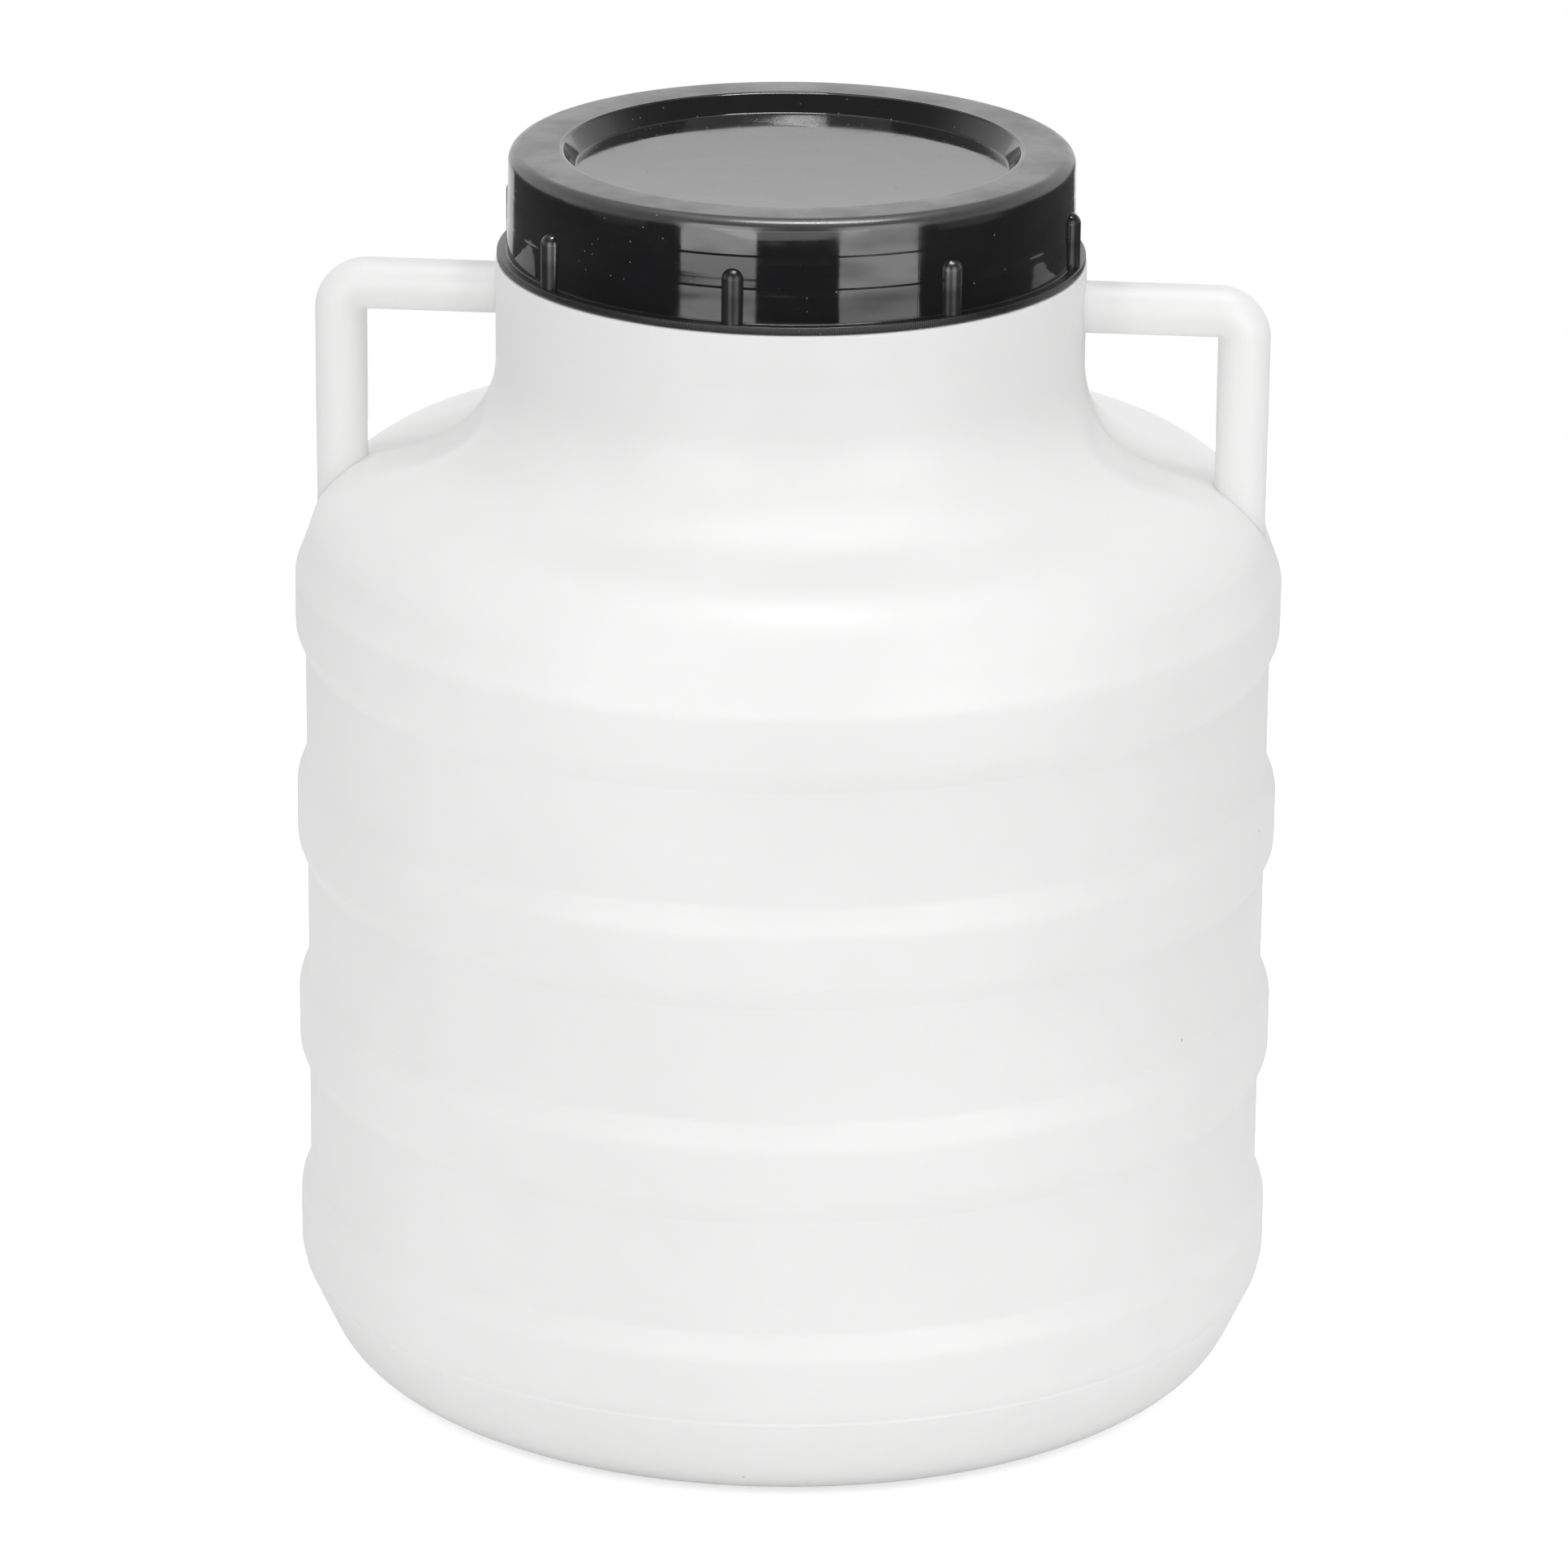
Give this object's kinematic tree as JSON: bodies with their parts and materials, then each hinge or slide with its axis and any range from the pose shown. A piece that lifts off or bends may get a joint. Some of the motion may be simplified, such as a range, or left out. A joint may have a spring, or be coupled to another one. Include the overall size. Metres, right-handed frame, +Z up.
{
  "type": "wide-mouth plastic barrel with screw lid",
  "caption": "Hooped white plastic barrel with a sloping shoulder, a wide neck, tubular side handles and a black screw lid with a sunk panel.",
  "frame": {"origin": "centre of the base, on the surface it stands on", "axes": "+Z up along the barrel's axis, handles along +X and -X, front towards -Y"},
  "size_m": [0.351, 0.3509, 0.4462],
  "materials": {
    "barrel_plastic": "satin natural-white blow-moulded polyethylene",
    "lid_plastic": "glossy black moulded plastic with a satin rim"
  },
  "bodies": {
    "root": {"barrel": "barrel_plastic", "lid": "lid_plastic"}
  },
  "joints": []
}
